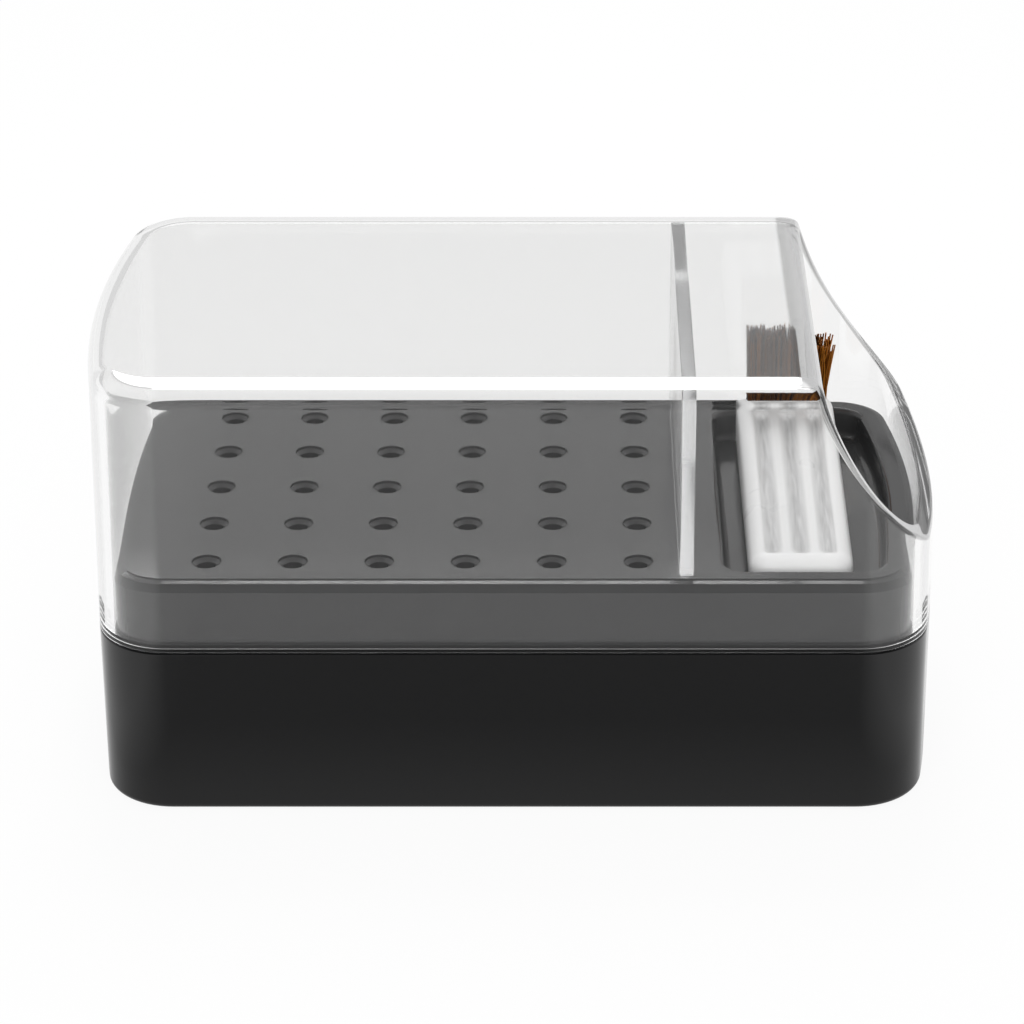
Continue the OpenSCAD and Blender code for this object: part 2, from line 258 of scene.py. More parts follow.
def bronze_wire():
    """Drawn bronze: a tone for each wire with painted light at the right end, an uneven polish, lines along
    it.
    """
    finish, tree, shader = new_finish("bronze_wire", Metallic=1.0)
    wire_tone_and_light = add(tree, "ShaderNodeAttribute", attribute_name="wire_tone_and_light")
    dark, golden = (0.05, 0.018, 0.006, 1.0), (0.8, 0.3, 0.04, 1.0)
    blend(tree, dark, golden, wire_tone_and_light.outputs["Fac"], shader.inputs["Base Color"])
    wire(tree, between(tree, noise(tree, 900.0), 0.28, 0.5), shader.inputs["Roughness"])
    bump(tree, shader, noise(tree, 9000.0, 2.0, (1.0, 1.0, 0.06)), 0.00001)
    return finish


def foot_rubber():
    """Matt black rubber with a fine grain."""
    finish, tree, shader = new_finish(
        "foot_rubber", Base_Color=(0.02, 0.02, 0.02, 1.0), Specular_IOR_Level=0.3)
    wire(tree, between(tree, noise(tree, 700.0), 0.65, 0.85), shader.inputs["Roughness"])
    bump(tree, shader, noise(tree, 3000.0, 3.0), 0.00002)
    return finish


FINISH = {
    "black_gloss": black_gloss(),
    "tray_plastic": tray_satin(),
    "clear_plastic": clear_plastic("clear_plastic", (0.96, 0.96, 0.958, 1.0), 0.00002, (0.01, 0.05)),
    "divider_plastic": clear_plastic("divider_plastic", (0.95, 0.955, 0.96, 1.0), 0.00001, (0.16, 0.2)),
    "white_plastic": white_plastic(),
    "bronze_wire": bronze_wire(),
    "foot_rubber": foot_rubber(),
}
print("finishes:", sorted(FINISH))

# %% [markdown]
# Most pieces are a profile carried along a path. A profile is drawn as straight lines whose corners are
# rounded with arcs, exactly as a draughtsman would: each arc touches both of its lines. With every point
# comes the direction that faces away from the material, so the shading is smooth on arcs and crisp at
# corners.

# %% Rounded profiles
def rounded_path(corners, radii, steps=6):
    """Points and outward directions along lines with rounded corners.
    Each corner becomes an arc tangent to both lines: its centre is one radius to the inside, and the point
    at each heading is the centre plus or minus the radius times the heading's right-hand direction.
    The outside is on the right of the path. A radius of 0 gives a sharp corner: two points with two
    directions."""
    corners = np.asarray(corners, float)
    lines = np.diff(corners, axis=0)
    ways = lines / np.linalg.norm(lines, axis=1, keepdims=True)
    points, headings = [corners[:1]], [ways[:1]]
    for corner, radius, before, after in zip(corners[1:-1], radii, ways[:-1], ways[1:]):
        turn = math.atan2(before[0] * after[1] - before[1] * after[0], before @ after)
        part = np.linspace(0.0, turn, (steps if radius else 1) + 1)
        heading = np.column_stack([
            before[0] * np.cos(part) - before[1] * np.sin(part),
            before[0] * np.sin(part) + before[1] * np.cos(part)])
        side = math.copysign(radius, turn)
        start = corner - before * radius * math.tan(abs(turn) / 2)
        centre = start + side * np.array([-before[1], before[0]])
        points.append(centre + side * np.column_stack([heading[:, 1], -heading[:, 0]]))
        headings.append(heading)
    points = np.concatenate(points + [corners[-1:]])
    heading = np.concatenate(headings + [ways[-1:]])
    return points, np.column_stack([heading[:, 1], -heading[:, 0]])


# %% [markdown]
# Seen from above, the case has straight sides, bowed ends and round corners. Each point of such an
# outline is kept as a centre, a radius and a direction. Then the same outline can be grown or shrunk by
# any amount, just by adding to the radius, and a wall's profile can be swept round it.

# %% Plans and sweeps
quarter_turn = math.pi / 2
half_len, half_depth = 60.0, 33.0
corner_r, bow_r = 10.0, 150.0
bow_x = half_len - bow_r
corner_y = half_depth - corner_r
bow_turn = math.asin(corner_y / (bow_r - corner_r))
corner_x = bow_x + (bow_r - corner_r) * math.cos(bow_turn)


def arc_plan(centre, radius, first, last, steps):
    """Centres, radii and directions of an arc, from the first to the last angle in radians."""
    angle = np.linspace(first, last, steps + 1)
    way = np.column_stack([np.cos(angle), np.sin(angle)])
    return np.tile(np.array(centre, float), (steps + 1, 1)), np.full(steps + 1, float(radius)), way


def joined(*plans):
    """Several arcs one after the other, as one plan."""
    return tuple(np.concatenate(parts) for parts in zip(*plans))


def right_end(inset, corner_steps=14, bow_steps=28):
    """The case's right end, set in: corner arc, bow, corner arc."""
    return joined(
        arc_plan((corner_x, -corner_y), corner_r - inset, -quarter_turn, -bow_turn, corner_steps),
        arc_plan((bow_x, 0.0), bow_r - inset, -bow_turn, bow_turn, bow_steps),
        arc_plan((corner_x, corner_y), corner_r - inset, bow_turn, quarter_turn, corner_steps))


def case_plan():
    """The whole outline: the right end, and the same turned half round."""
    centre, radius, way = right_end(0.0)
    return joined((centre, radius, way), (-centre, radius, -way))


def circle_plan(x, y, steps):
    """A circle of no radius, for holes and feet: the profile gives the radius."""
    return arc_plan((x, y), 0.0, 0.0, 2 * math.pi, steps)


def sweep(plan, path):
    """A grid of points: centre + (radius + out) * direction at height z, for each (out, z) of the path.
    The path's outward directions are turned the same way."""
    centre, radius, way = plan
    (out, z), (n_out, n_z) = path[0].T, path[1].T
    flat = centre[None] + (radius[None] + out[:, None])[..., None] * way[None]
    points = np.dstack([flat, np.broadcast_to(z[:, None], flat.shape[:2])])
    lean = n_out[:, None, None] * way[None]
    return points, np.dstack([lean, np.broadcast_to(n_z[:, None], flat.shape[:2])])


def faces(grid, wrap=False):
    """The four-cornered faces between neighbouring rows and columns, as corner points and corner normals."""
    def corners(a):
        if wrap:
            a = np.concatenate([a, a[:, :1]], axis=1)
        return np.stack([a[:-1, :-1], a[:-1, 1:], a[1:, 1:], a[1:, :-1]], axis=2).reshape(-1, 4, 3)
    return corners(grid[0]), corners(grid[1])


def cap(ring, normal):
    """Closes a ring with faces that run to its middle."""
    middle = np.broadcast_to(ring.mean(axis=0), ring.shape)
    points = np.stack([ring, middle])
    return faces((points, np.broadcast_to(np.array(normal, float), points.shape)), True)


def plate(z, up, outside, holes):
    """A flat plate between an outside ring and the rings of its holes, filled with triangles.
    A triangle is kept if its middle lies in the outside ring and in no hole, by counting crossings."""
    rings = [np.asarray(ring, float)[:, :2] for ring in [outside, *holes]]
    rings = [ring[np.linalg.norm(ring - np.roll(ring, 1, axis=0), axis=1) > 1e-6] for ring in rings]
    flat = np.concatenate(rings)
    first = np.cumsum([0] + [len(ring) for ring in rings])
    edges = np.concatenate([
        start + np.column_stack([np.arange(len(ring)), np.roll(np.arange(len(ring)), -1)])
        for start, ring in zip(first, rings)])
    _, _, triangles, origin, *_ = delaunay_2d_cdt(flat.tolist(), edges.tolist(), [], 0, 1e-7)
    spots, triangles = flat[[ids[0] for ids in origin]], np.array(triangles)
    middle = spots[triangles].mean(axis=1)
    a, b = flat[edges[:, 0]], flat[edges[:, 1]]
    level = (a[None, :, 1] > middle[:, None, 1]) != (b[None, :, 1] > middle[:, None, 1])
    rise = np.where(a[:, 1] == b[:, 1], 1.0, b[:, 1] - a[:, 1])
    at = a[None, :, 0] + (middle[:, None, 1] - a[None, :, 1]) * ((b - a)[:, 0] / rise)[None]
    kept = triangles[((level & (at > middle[:, None, 0])).sum(axis=1) % 2) == 1]
    points = np.dstack([spots[kept], np.full(kept.shape, float(z))])
    points = np.concatenate([points, points[:, 2:]], axis=1)
    return points, np.broadcast_to(np.array([0.0, 0.0, float(up)]), points.shape)


# %% [markdown]
# A piece arrives as loose faces that only share places. To make one closed skin, corners at the same
# place are welded to one vertex, faces that shrank to a line are dropped, and any face that points
# inwards is turned over. The count of open edges is printed, because a closed skin has none.

# %% Faces to a finished piece
WELD_CELLS = 5000  # to a millimetre: corners in one cell become one vertex


def finish_piece(name, parts, body, node, slot, marks=(), finish=None):
    """Welds faces (in millimetres) into one mesh with smooth or crisp corners, and hangs it on its body.
    Marks are labels with a number for each corner, for the finish to read."""
    points = np.concatenate([part[0] for part in parts])
    normals = np.concatenate([part[1] for part in parts])
    across = np.cross(points[:, 2] - points[:, 0], points[:, 3] - points[:, 1])
    turned = (across * normals.mean(axis=1)).sum(axis=1) < 0
    points[turned] = points[turned][:, ::-1]
    normals[turned] = normals[turned][:, ::-1]
    keys = np.round(points.reshape(-1, 3) * WELD_CELLS).astype(np.int64)
    _, where, index = np.unique(keys, axis=0, return_index=True, return_inverse=True)
    index = index.reshape(-1, 4)
    used = index != np.roll(index, 1, axis=1)
    full = (used.sum(axis=1) >= 3) & (index[:, 0] != index[:, 2]) & (index[:, 1] != index[:, 3])
    used &= full[:, None]
    loops = index[used]
    sizes = used.sum(axis=1)[full]
    starts = np.cumsum(sizes) - sizes
    mesh = bpy.data.meshes.new(name)
    mesh.vertices.add(len(where))
    mesh.vertices.foreach_set("co", (points.reshape(-1, 3)[where] * MM).ravel())
    mesh.loops.add(len(loops))
    mesh.loops.foreach_set("vertex_index", loops.astype(np.int32))
    mesh.polygons.add(len(sizes))
    mesh.polygons.foreach_set("loop_start", starts.astype(np.int32))
    mesh.polygons.foreach_set("use_smooth", np.ones(len(sizes), bool))
    mesh.update(calc_edges=True)
    changed = mesh.validate()
    for label, values in marks:
        mesh.attributes.new(label, "FLOAT", "POINT").data.foreach_set(
            "value", values.reshape(-1)[where].astype(np.float32))
    length = np.linalg.norm(normals, axis=2, keepdims=True)
    mesh.normals_split_custom_set((normals / np.maximum(length, 1e-9))[used])
    used_by = np.zeros(len(mesh.edges), int)
    edge_of = np.empty(len(mesh.loops), np.int32)
    mesh.loops.foreach_get("edge_index", edge_of)
    np.add.at(used_by, edge_of, 1)
    piece = bpy.data.objects.new(name, mesh)
    scene.collection.objects.link(piece)
    mesh.materials.append(FINISH[finish or slot])
    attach(piece, body)
    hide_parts(node)
    print(f"{name}: {len(mesh.polygons)} faces, {(used_by != 2).sum()} open edges, mended {changed}")


# %% [markdown]
# The tub is the simplest sweep: one profile goes under the floor, round the bottom edge, up the outside,
# over the rim and down the inside, and is carried round the whole outline. It could be a block that is
# hollowed out, but the sweep gives the small roundings of every edge, and those are what catch the light.
# Four round pockets in the bottom take the feet.

# %% Base tub
tub_z, floor_z, rim_z = 0.8, 3.2, 25.8
foot_spots = [(-47.0, -20.0), (47.0, -20.0), (-47.0, 20.0), (47.0, 20.0)]
outline = case_plan()


def base_tub():
    """The tub's profile swept round the outline, with a floor above and a bottom with four pockets below."""
    skin = sweep(outline, rounded_path(
        [(-6, tub_z), (0, tub_z), (0, rim_z), (-2.2, rim_z), (-2.2, floor_z), (-6, floor_z)],
        [1.0, 0.5, 0.4, 1.0], 8))
    pocket = rounded_path([(4.6, tub_z), (4.6, 1.6), (0, 1.6)], [0])
    pockets = [sweep(circle_plan(x, y, 48), (pocket[0], -pocket[1])) for x, y in foot_spots]
    return [
        faces(skin, True),
        cap(skin[0][-1], (0, 0, 1)),
        plate(tub_z, -1, skin[0][0], [grid[0][0][:-1] for grid in pockets]),
        *[faces(grid) for grid in pockets]]


finish_piece("base_tub_skin", base_tub(), "base", "base_tub", "black_gloss")

# %% [markdown]
# The rubber feet are small turned pads: a profile spun round an upright axis, with a rounded lower edge
# and a slightly dished underside, so each stands on a ring as moulded pads do.

# %% Feet
def foot(x, y):
    """A pad spun from its profile: dished underside, rounded edge, flat top."""
    profile = rounded_path(
        [(0, 0.12), (2.6, 0.12), (3.1, 0), (4.5, 0), (4.5, 1.6), (0, 1.6)], [0.3, 0.3, 0.35, 0.1])
    return [faces(sweep(circle_plan(x, y, 48), profile))]


for spot, end in zip(foot_spots, ["front_left", "front_right", "rear_left", "rear_right"]):
    finish_piece(f"foot_{end}_pad", foot(*spot), "base", f"foot_{end}", "foot_rubber")

# %% [markdown]
# The tray drops into the tub. Its top is a flat plate with thirty round sockets and one long recess, and
# a skirt stands on the tub's floor. The plate could be cut with booleans, but those leave ragged
# triangles round each hole. Here the holes are rings in a flat triangulation, and each ring starts a spun
# surface that goes on down the small step of the lip and into the bore.

# %% Bit tray
tray_z, tray_under = 35.8, 33.6
socket_r, lip_r, socket_z, socket_pitch = 1.5, 2.1, 15.8, 12.0
recess_z, recess_r, recess_x, recess_y = 31.3, 3.0, 32.4, 23.6
sockets = [(17.4 - socket_pitch * column, socket_pitch * row) for column in range(6) for row in range(-2, 3)]


def recess_plan(steps=10):
    """Outline of the recess: round corners beside the divider, and a right end that follows the case."""
    return joined(
        arc_plan((recess_x, -recess_y), recess_r, 2 * quarter_turn, 3 * quarter_turn, steps),
        right_end(6.4),
        arc_plan((recess_x, recess_y), recess_r, quarter_turn, 2 * quarter_turn, steps))


def bit_tray():
    """Skirt and edge, top plate, sockets with their tubes below, and the recess with its shell below."""
    skirt = sweep(outline, rounded_path(
        [(-4.2, tray_under), (-4.0, tray_under), (-4.0, floor_z), (-2.4, floor_z), (-2.4, 34.2),
         (-2.8, 35.42), (-3.5, 35.6), (-3.65, 35.6), (-3.75, tray_z), (-5, tray_z)],
        [0, 0.2, 0.2, 0.35, 0.15, 0.04, 0.05, 0.06], 6))
    bore = rounded_path(
        [(2.5, tray_z), (lip_r, tray_z), (lip_r, 35.4), (socket_r, 34.95), (socket_r, socket_z),
         (0, socket_z)],
        [0.06, 0.05, 0.1, 0.4], 3)
    tube = rounded_path([(0, 14.4), (2.9, 14.4), (2.9, tray_under), (3.2, tray_under)], [0.4, 0], 3)
    bores = [sweep(circle_plan(x, y, 48), bore) for x, y in sockets]
    tubes = [sweep(circle_plan(x, y, 24), tube) for x, y in sockets]
    recess = recess_plan()
    well = sweep(recess, rounded_path(
        [(1, tray_z), (0, tray_z), (0, recess_z), (-2.6, recess_z)], [0.8, 1.2], 8))
    shell = sweep(recess, rounded_path(
        [(-1, 29.7), (1.6, 29.7), (1.6, tray_under), (1.75, tray_under)], [0.8, 0], 4))
    return [
        faces(skirt, True),
        plate(tray_z, 1, skirt[0][-1], [well[0][0], *[grid[0][0][:-1] for grid in bores]]),
        plate(tray_under, -1, skirt[0][0], [shell[0][-1], *[grid[0][-1][:-1] for grid in tubes]]),
        *[faces(grid) for grid in bores + tubes],
        faces(well, True),
        cap(well[0][-1], (0, 0, 1)),
        faces(shell, True),
        cap(shell[0][0], (0, 0, -1))]


finish_piece("bit_tray_skin", bit_tray(), "base", "bit_tray", "tray_plastic")

# %% [markdown]
# The clear cover is a thin shell with one end scooped away, and it is the hardest piece. A boolean would
# leave slivers along the cut, and clear plastic shows every one. Instead the shell's skin is laid out
# flat in the mind: one direction runs along the outline, the other up the wall, round the edge and over
# the top. On that sheet the scoop is a single curve, so each row of the grid simply ends where the curve
# is.

# %% Outline of the cover's front half
span = np.array([bow_r * bow_turn, corner_r * (quarter_turn - bow_turn), 2 * corner_x])
span = np.append(span, span[1::-1])
reach = np.concatenate([[0.0], np.cumsum(span)])


def front_outline(u):
    """Centre, radius and direction at a distance u along the front half, from the left end's middle to the
    right end's middle: a bow, a corner, the straight side, a corner and a bow. On arcs the angle grows by
    the distance over the radius, and on the straight side the centre moves along instead."""
    part = np.clip(np.searchsorted(reach, u, side="right") - 1, 0, 4)
    along = u - reach[part]
    radius = np.array([bow_r, corner_r, corner_r, corner_r, bow_r])[part]
    first = np.array([2, 2, 3, 3, 4])[part] * quarter_turn + np.array([0, 1, 0, 0, -1])[part] * bow_turn
    angle = first + np.where(part == 2, 0.0, along / radius)
    x = np.array([-bow_x, -corner_x, -corner_x, corner_x, bow_x])[part] + np.where(part == 2, along, 0.0)
    y = np.array([0, -corner_y, -corner_y, -corner_y, 0])[part]
    return np.stack([x, y], -1), radius, np.stack([np.cos(angle), np.sin(angle)], -1)


print("half outline:", round(reach[-1], 2), "mm")

# %% [markdown]
# The scoop is an arc from the top's crest down to the lip at the right end, and the crest itself is
# rounded over with a small arc. Because it is cut straight through from front to back, one function of
# the height gives how far the cover reaches there.

# %% Scoop
cover_z, edge_r, lean = 65.8, 3.5, 0.6 / 40.0
edge_z = cover_z - edge_r
crest, lip = np.array([41.5, cover_z]), np.array([half_len, 38.3])
scoop_r, crest_r = 49.4, 3.0
chord = crest - lip
arm = math.sqrt(scoop_r ** 2 - chord @ chord / 4)
hub = (crest + lip) / 2 + arm * np.array([chord[1], -chord[0]]) / np.linalg.norm(chord)
crest_z = cover_z - crest_r
crest_x = hub[0] - math.sqrt((scoop_r + crest_r) ** 2 - (hub[1] - crest_z) ** 2)
meet_z = crest_z + crest_r * (hub[1] - crest_z) / (scoop_r + crest_r)


def scoop_x(z):
    """How far the cover reaches along X at the height z: the crest's small arc above, the big arc below."""
    small = crest_x + np.sqrt(np.maximum(crest_r ** 2 - (z - crest_z) ** 2, 0.0))
    return np.where(z > meet_z, small, hub[0] - np.sqrt(scoop_r ** 2 - (hub[1] - z) ** 2))


def scoop_normal(points):
    """Direction that the cut face looks in: away from the small arc's centre, or towards the big one's."""
    x, z = points[..., 0], points[..., 2]
    small = np.stack([x - crest_x, 0 * x, z - crest_z], -1) / crest_r
    return np.where((z > meet_z)[..., None], small, np.stack([hub[0] - x, 0 * x, hub[1] - z], -1) / scoop_r)


# %% Cut curve
bow_u = np.linspace(reach[5], reach[4], 15)
bow_u = reach[5] - (reach[5] - bow_u) ** 1.15 / (reach[5] - reach[4]) ** 0.15
around_u = np.concatenate([bow_u, np.linspace(reach[4], reach[3], 17)[1:]])
side_z = np.linspace(hub[1] - math.sqrt(scoop_r ** 2 - (hub[0] - corner_x) ** 2), edge_z, 13)[1:]
edge_turn = np.linspace(0.0, quarter_turn, 13)[1:]
top_share = np.linspace(0.0, 1.0, 9)[1:]


def cut_curve(depth):
    """Where the scoop cuts the shell at a depth below its outside: distance along the outline, and height.
    Round the end the height is found by repeating: the wall's place at a height gives the scoop's height
    there, and the lean is so slight that this settles at once."""
    centre, radius, way = front_outline(around_u)
    z = np.full(len(around_u), 45.0)
    for _ in range(30):
        x = centre[:, 0] + (radius - depth - lean * (z - rim_z)) * way[:, 0]
        z = hub[1] - np.sqrt(scoop_r ** 2 - (hub[0] - x) ** 2)
    edge = edge_z + (edge_r - depth) * np.sin(edge_turn)
    z = np.concatenate([z, side_z, edge, np.full(len(top_share), cover_z - depth)])
    u = np.concatenate([around_u, reach[2] + corner_x + scoop_x(z[len(around_u):])])
    return u, z


print("lip at", round(float(cut_curve(0.0)[1][0]), 2), "mm, crest at", round(float(crest_x), 2), "mm")

# %% [markdown]
# Now each skin of the shell, outside and inside, is one grid. Rows follow the wall's profile and columns
# follow the outline; the last column lies on the cut curve, set back a little so that the edge can be
# rounded. The back half is the front half mirrored.

# %% Skins of the cover
turn_out = -lean * (edge_z - rim_z) - edge_r
straight_u = reach[2] + corner_x + 30.0
left_u = np.concatenate([
    np.linspace(reach[0], reach[1], 13)[:-1], np.linspace(reach[1], reach[2], 15)[:-1],
    np.linspace(reach[2], straight_u, 8)[:-1]])
rows_below = 5


def skin_profile(depth, side):
    """Profile of one skin from the middle of the rim: rim, round, leaning wall and upper round, as a table
    of (out, z) and outward directions against the distance s along it."""
    wall_top = (-depth - lean * (edge_z - rim_z), edge_z)
    low, low_n = rounded_path([(-1.0, rim_z), (-depth, rim_z), wall_top], [0.22 if depth else 0.12], 6)
    turn = np.linspace(0.0, quarter_turn, 25)[1:]
    way = np.column_stack([np.cos(turn), np.sin(turn)])
    points = np.concatenate([low, np.array([turn_out, edge_z]) + (edge_r - depth) * way])
    s = np.concatenate([[0.0], np.cumsum(np.linalg.norm(np.diff(points, axis=0), axis=1))])
    return s, points, np.concatenate([side * low_n, side * way])


def skin_points(profile, u, s, share):
    """Points and normals of a skin at distances u along the outline and s up the profile. Past the round,
    the top runs level to the middle line: y shrinks by the share."""
    table, points, normals = profile
    centre, radius, way = front_outline(u)
    out, z, n_out, n_z = [np.interp(s, table, column) for column in [*points.T, *normals.T]]
    flat = centre + (radius + out)[..., None] * way
    flat[..., 1] *= 1 - share
    return np.dstack([flat, z]), np.dstack([n_out[..., None] * way, n_z])


def skin(depth, side, wall_back, crest_back):
    """One skin of the front half as a grid, and the part of its last column that lies along the cut."""
    profile = skin_profile(depth, side)
    table, points, _ = profile
    rim_s = table[:8]
    wall_s, wall_z, top_s = table[[7, 8]], points[[7, 8], 1], table[-1]
    cut_u, cut_z = cut_curve(depth)
    walls = len(around_u) + len(side_z)
    s = np.interp(cut_z[:walls], wall_z, wall_s)
    s = np.concatenate([s, wall_s[1] + (edge_r - depth) * edge_turn, top_s + 30 * top_share])
    ahead = np.column_stack([np.gradient(cut_u), np.gradient(s)])
    ahead[0] = (-1.0, 0.0)
    ahead /= np.linalg.norm(ahead, axis=1, keepdims=True)
    high = np.clip((cut_z - 50.0) / (edge_z - 50.0), 0.0, 1.0)
    back = wall_back + (crest_back - wall_back) * high
    end_u, end_s = cut_u - back * ahead[:, 1], s + back * ahead[:, 0]
    over = slice(walls + len(edge_turn), None)
    end_u[over], end_s[over] = cut_u[over] - back[over], s[over]
    below = np.linspace(rim_s[-1], min(end_s[0], s[0]), rows_below + 1)[1:-1]
    head = np.concatenate([rim_s, below])
    row_s = np.concatenate([head, s])
    end_s = np.concatenate([head, end_s])
    end_u = np.concatenate([np.full(len(head), reach[5]), end_u])
    t = np.linspace(0.0, 1.0, 61)
    right_u = straight_u + (end_u - straight_u)[:, None] * t
    right_s = row_s[:, None] + (end_s - row_s)[:, None] * t
    grid_u = np.concatenate([np.broadcast_to(left_u, (len(row_s), len(left_u))), right_u], axis=1)
    grid_s = np.concatenate([np.repeat(row_s[:, None], len(left_u), axis=1), right_s], axis=1)
    share = np.clip((grid_s - top_s) / 30, 0.0, 1.0)
    grid = skin_points(profile, grid_u, np.minimum(grid_s, top_s), share)
    return grid, len(head)


def mirrored(part):
    """The same faces on the other side of the middle line."""
    flip = np.array([1.0, -1.0, 1.0])
    return part[0] * flip, part[1] * flip


# %% [markdown]
# The cut face joins the two skins. Both of its edges are rounded a little, as a polished moulding's are:
# between the skin and the face runs a curve pulled towards the sharp corner, and its normals swing from
# one to the other.

# %% Cut face and whole cover
wall_t = 2.0


def cut_points(depth):
    """Points of the cut curve at a depth in the shell, in space."""
    u, z = cut_curve(depth)
    centre, radius, way = front_outline(u)
    walls = len(around_u) + len(side_z)
    edge = edge_r - depth
    out = np.concatenate([
        -depth - lean * (z[:walls] - rim_z),
        turn_out + edge * np.cos(edge_turn),
        np.full(len(top_share), turn_out)])
    flat = centre + (radius + out)[:, None] * way
    flat[walls + len(edge_turn):, 1] *= 1 - top_share
    return np.column_stack([flat, z])


def round_over(start, start_n, corner, end, end_n, steps=5):
    """Columns of a rounded edge: points pulled from start to end past the corner, as (1-t)^2, 2t(1-t) and
    t^2 parts of the three, with normals that swing across."""
    t = np.linspace(0.0, 1.0, steps + 1)[None, :, None]
    points = (1 - t) ** 2 * start[:, None] + 2 * t * (1 - t) * corner[:, None] + t ** 2 * end[:, None]
    normals = (1 - t) * start_n[:, None] + t * end_n[:, None]
    return points, normals / np.linalg.norm(normals, axis=2, keepdims=True)


def clear_cover():
    """Both skins and the cut face of the front half, then the same mirrored."""
    outer, rows = skin(0.0, 1, 0.55, 1.1)
    inner, _ = skin(wall_t, -1, 0.4, 0.45)
    depths = np.array([0.5, 0.8, 1.1, 1.4, 1.65])
    face = np.stack([cut_points(depth) for depth in depths], axis=1)
    face_n = scoop_normal(face)
    outer_end, inner_end = [[grid[rows:, -1] for grid in skin_grid] for skin_grid in (outer, inner)]
    near = round_over(*outer_end, cut_points(0.0), face[:, 0], face_n[:, 0])
    far = round_over(face[:, -1], face_n[:, -1], cut_points(wall_t), *inner_end)
    strip = [np.concatenate([near[k], (face, face_n)[k][:, 1:-1], far[k]], axis=1) for k in (0, 1)]
    front = [faces(outer), faces(inner), faces(strip)]
    kind = np.concatenate([np.full(part[0].shape[:2], k) for k, part in enumerate(front * 2)]) % 3
    return front + [mirrored(part) for part in front], [("inner_skin", kind == 1), ("cut_edge", kind == 2)]


shell, shell_marks = clear_cover()
finish_piece("clear_cover_shell", shell, "cover", "clear_cover", "clear_plastic", shell_marks)

# %% [markdown]
# The divider is a flat clear plate bonded under the cover's top. It is a rounded outline in the plane
# across the case, swept through its thickness with rounded edges: the sweep works as before, with the
# axes swapped.

# %% Divider
def cover_divider():
    """A plate with round corners: outline in (y, z), profile across x."""
    face_x, back_x = 22.9, 24.9
    half_low, half_high = 30.79, 30.38
    tilt = math.atan(lean)
    low_r, high_r = 2.0, 1.45
    low, high = (half_low - low_r, 36.2 + low_r), (half_high - high_r, 63.75 - high_r)
    plan = joined(
        arc_plan(low, low_r, -quarter_turn, tilt, 8),
        arc_plan(high, high_r, tilt, quarter_turn, 8),
        arc_plan((-high[0], high[1]), high_r, quarter_turn, math.pi - tilt, 8),
        arc_plan((-low[0], low[1]), low_r, math.pi - tilt, 3 * quarter_turn, 8))
    path, normals = rounded_path(
        [(-1.2, face_x), (0, face_x), (0, back_x), (-1.2, back_x)], [0.18, 0.18], 5)
    points, normals = sweep(plan, (path, normals))
    points, normals = points[..., [2, 0, 1]], normals[..., [2, 0, 1]]
    return [
        faces((points, normals), True),
        cap(points[0], (-1, 0, 0)),
        cap(points[-1], (1, 0, 0))]


finish_piece(
    "cover_divider_plate", cover_divider(), "cover", "cover_divider", "clear_plastic",
    finish="divider_plastic")

# %% [markdown]
# The brush handle is a row of rounded sections, from a blunt nose at the front to the head under the
# bristles. Three shallow grip flutes run along its top. They could be cut as cylinders, but moulded
# flutes fade out softly at both ends, so here the top simply dips by a smooth function of the place.

# %% Brush handle
handle_x, handle_w = 32.8, 14.6
handle_y0, handle_y1, head_y = -25.0, 25.4, 18.4
head_z, front_z = 39.6, 36.4
flute_pitch, flute_w, flute_depth = 3.9, 2.9, 0.7


def draw_back(s, r):
    """How far a face draws back at a distance s from the end of a rounding of radius r: a quarter circle."""
    return r - np.sqrt(r * r - (r - np.minimum(s, r)) ** 2)


def soft_step(t):
    """Rises from 0 to 1 with level ends."""
    t = np.clip(t, 0.0, 1.0)
    return t * t * (3 - 2 * t)


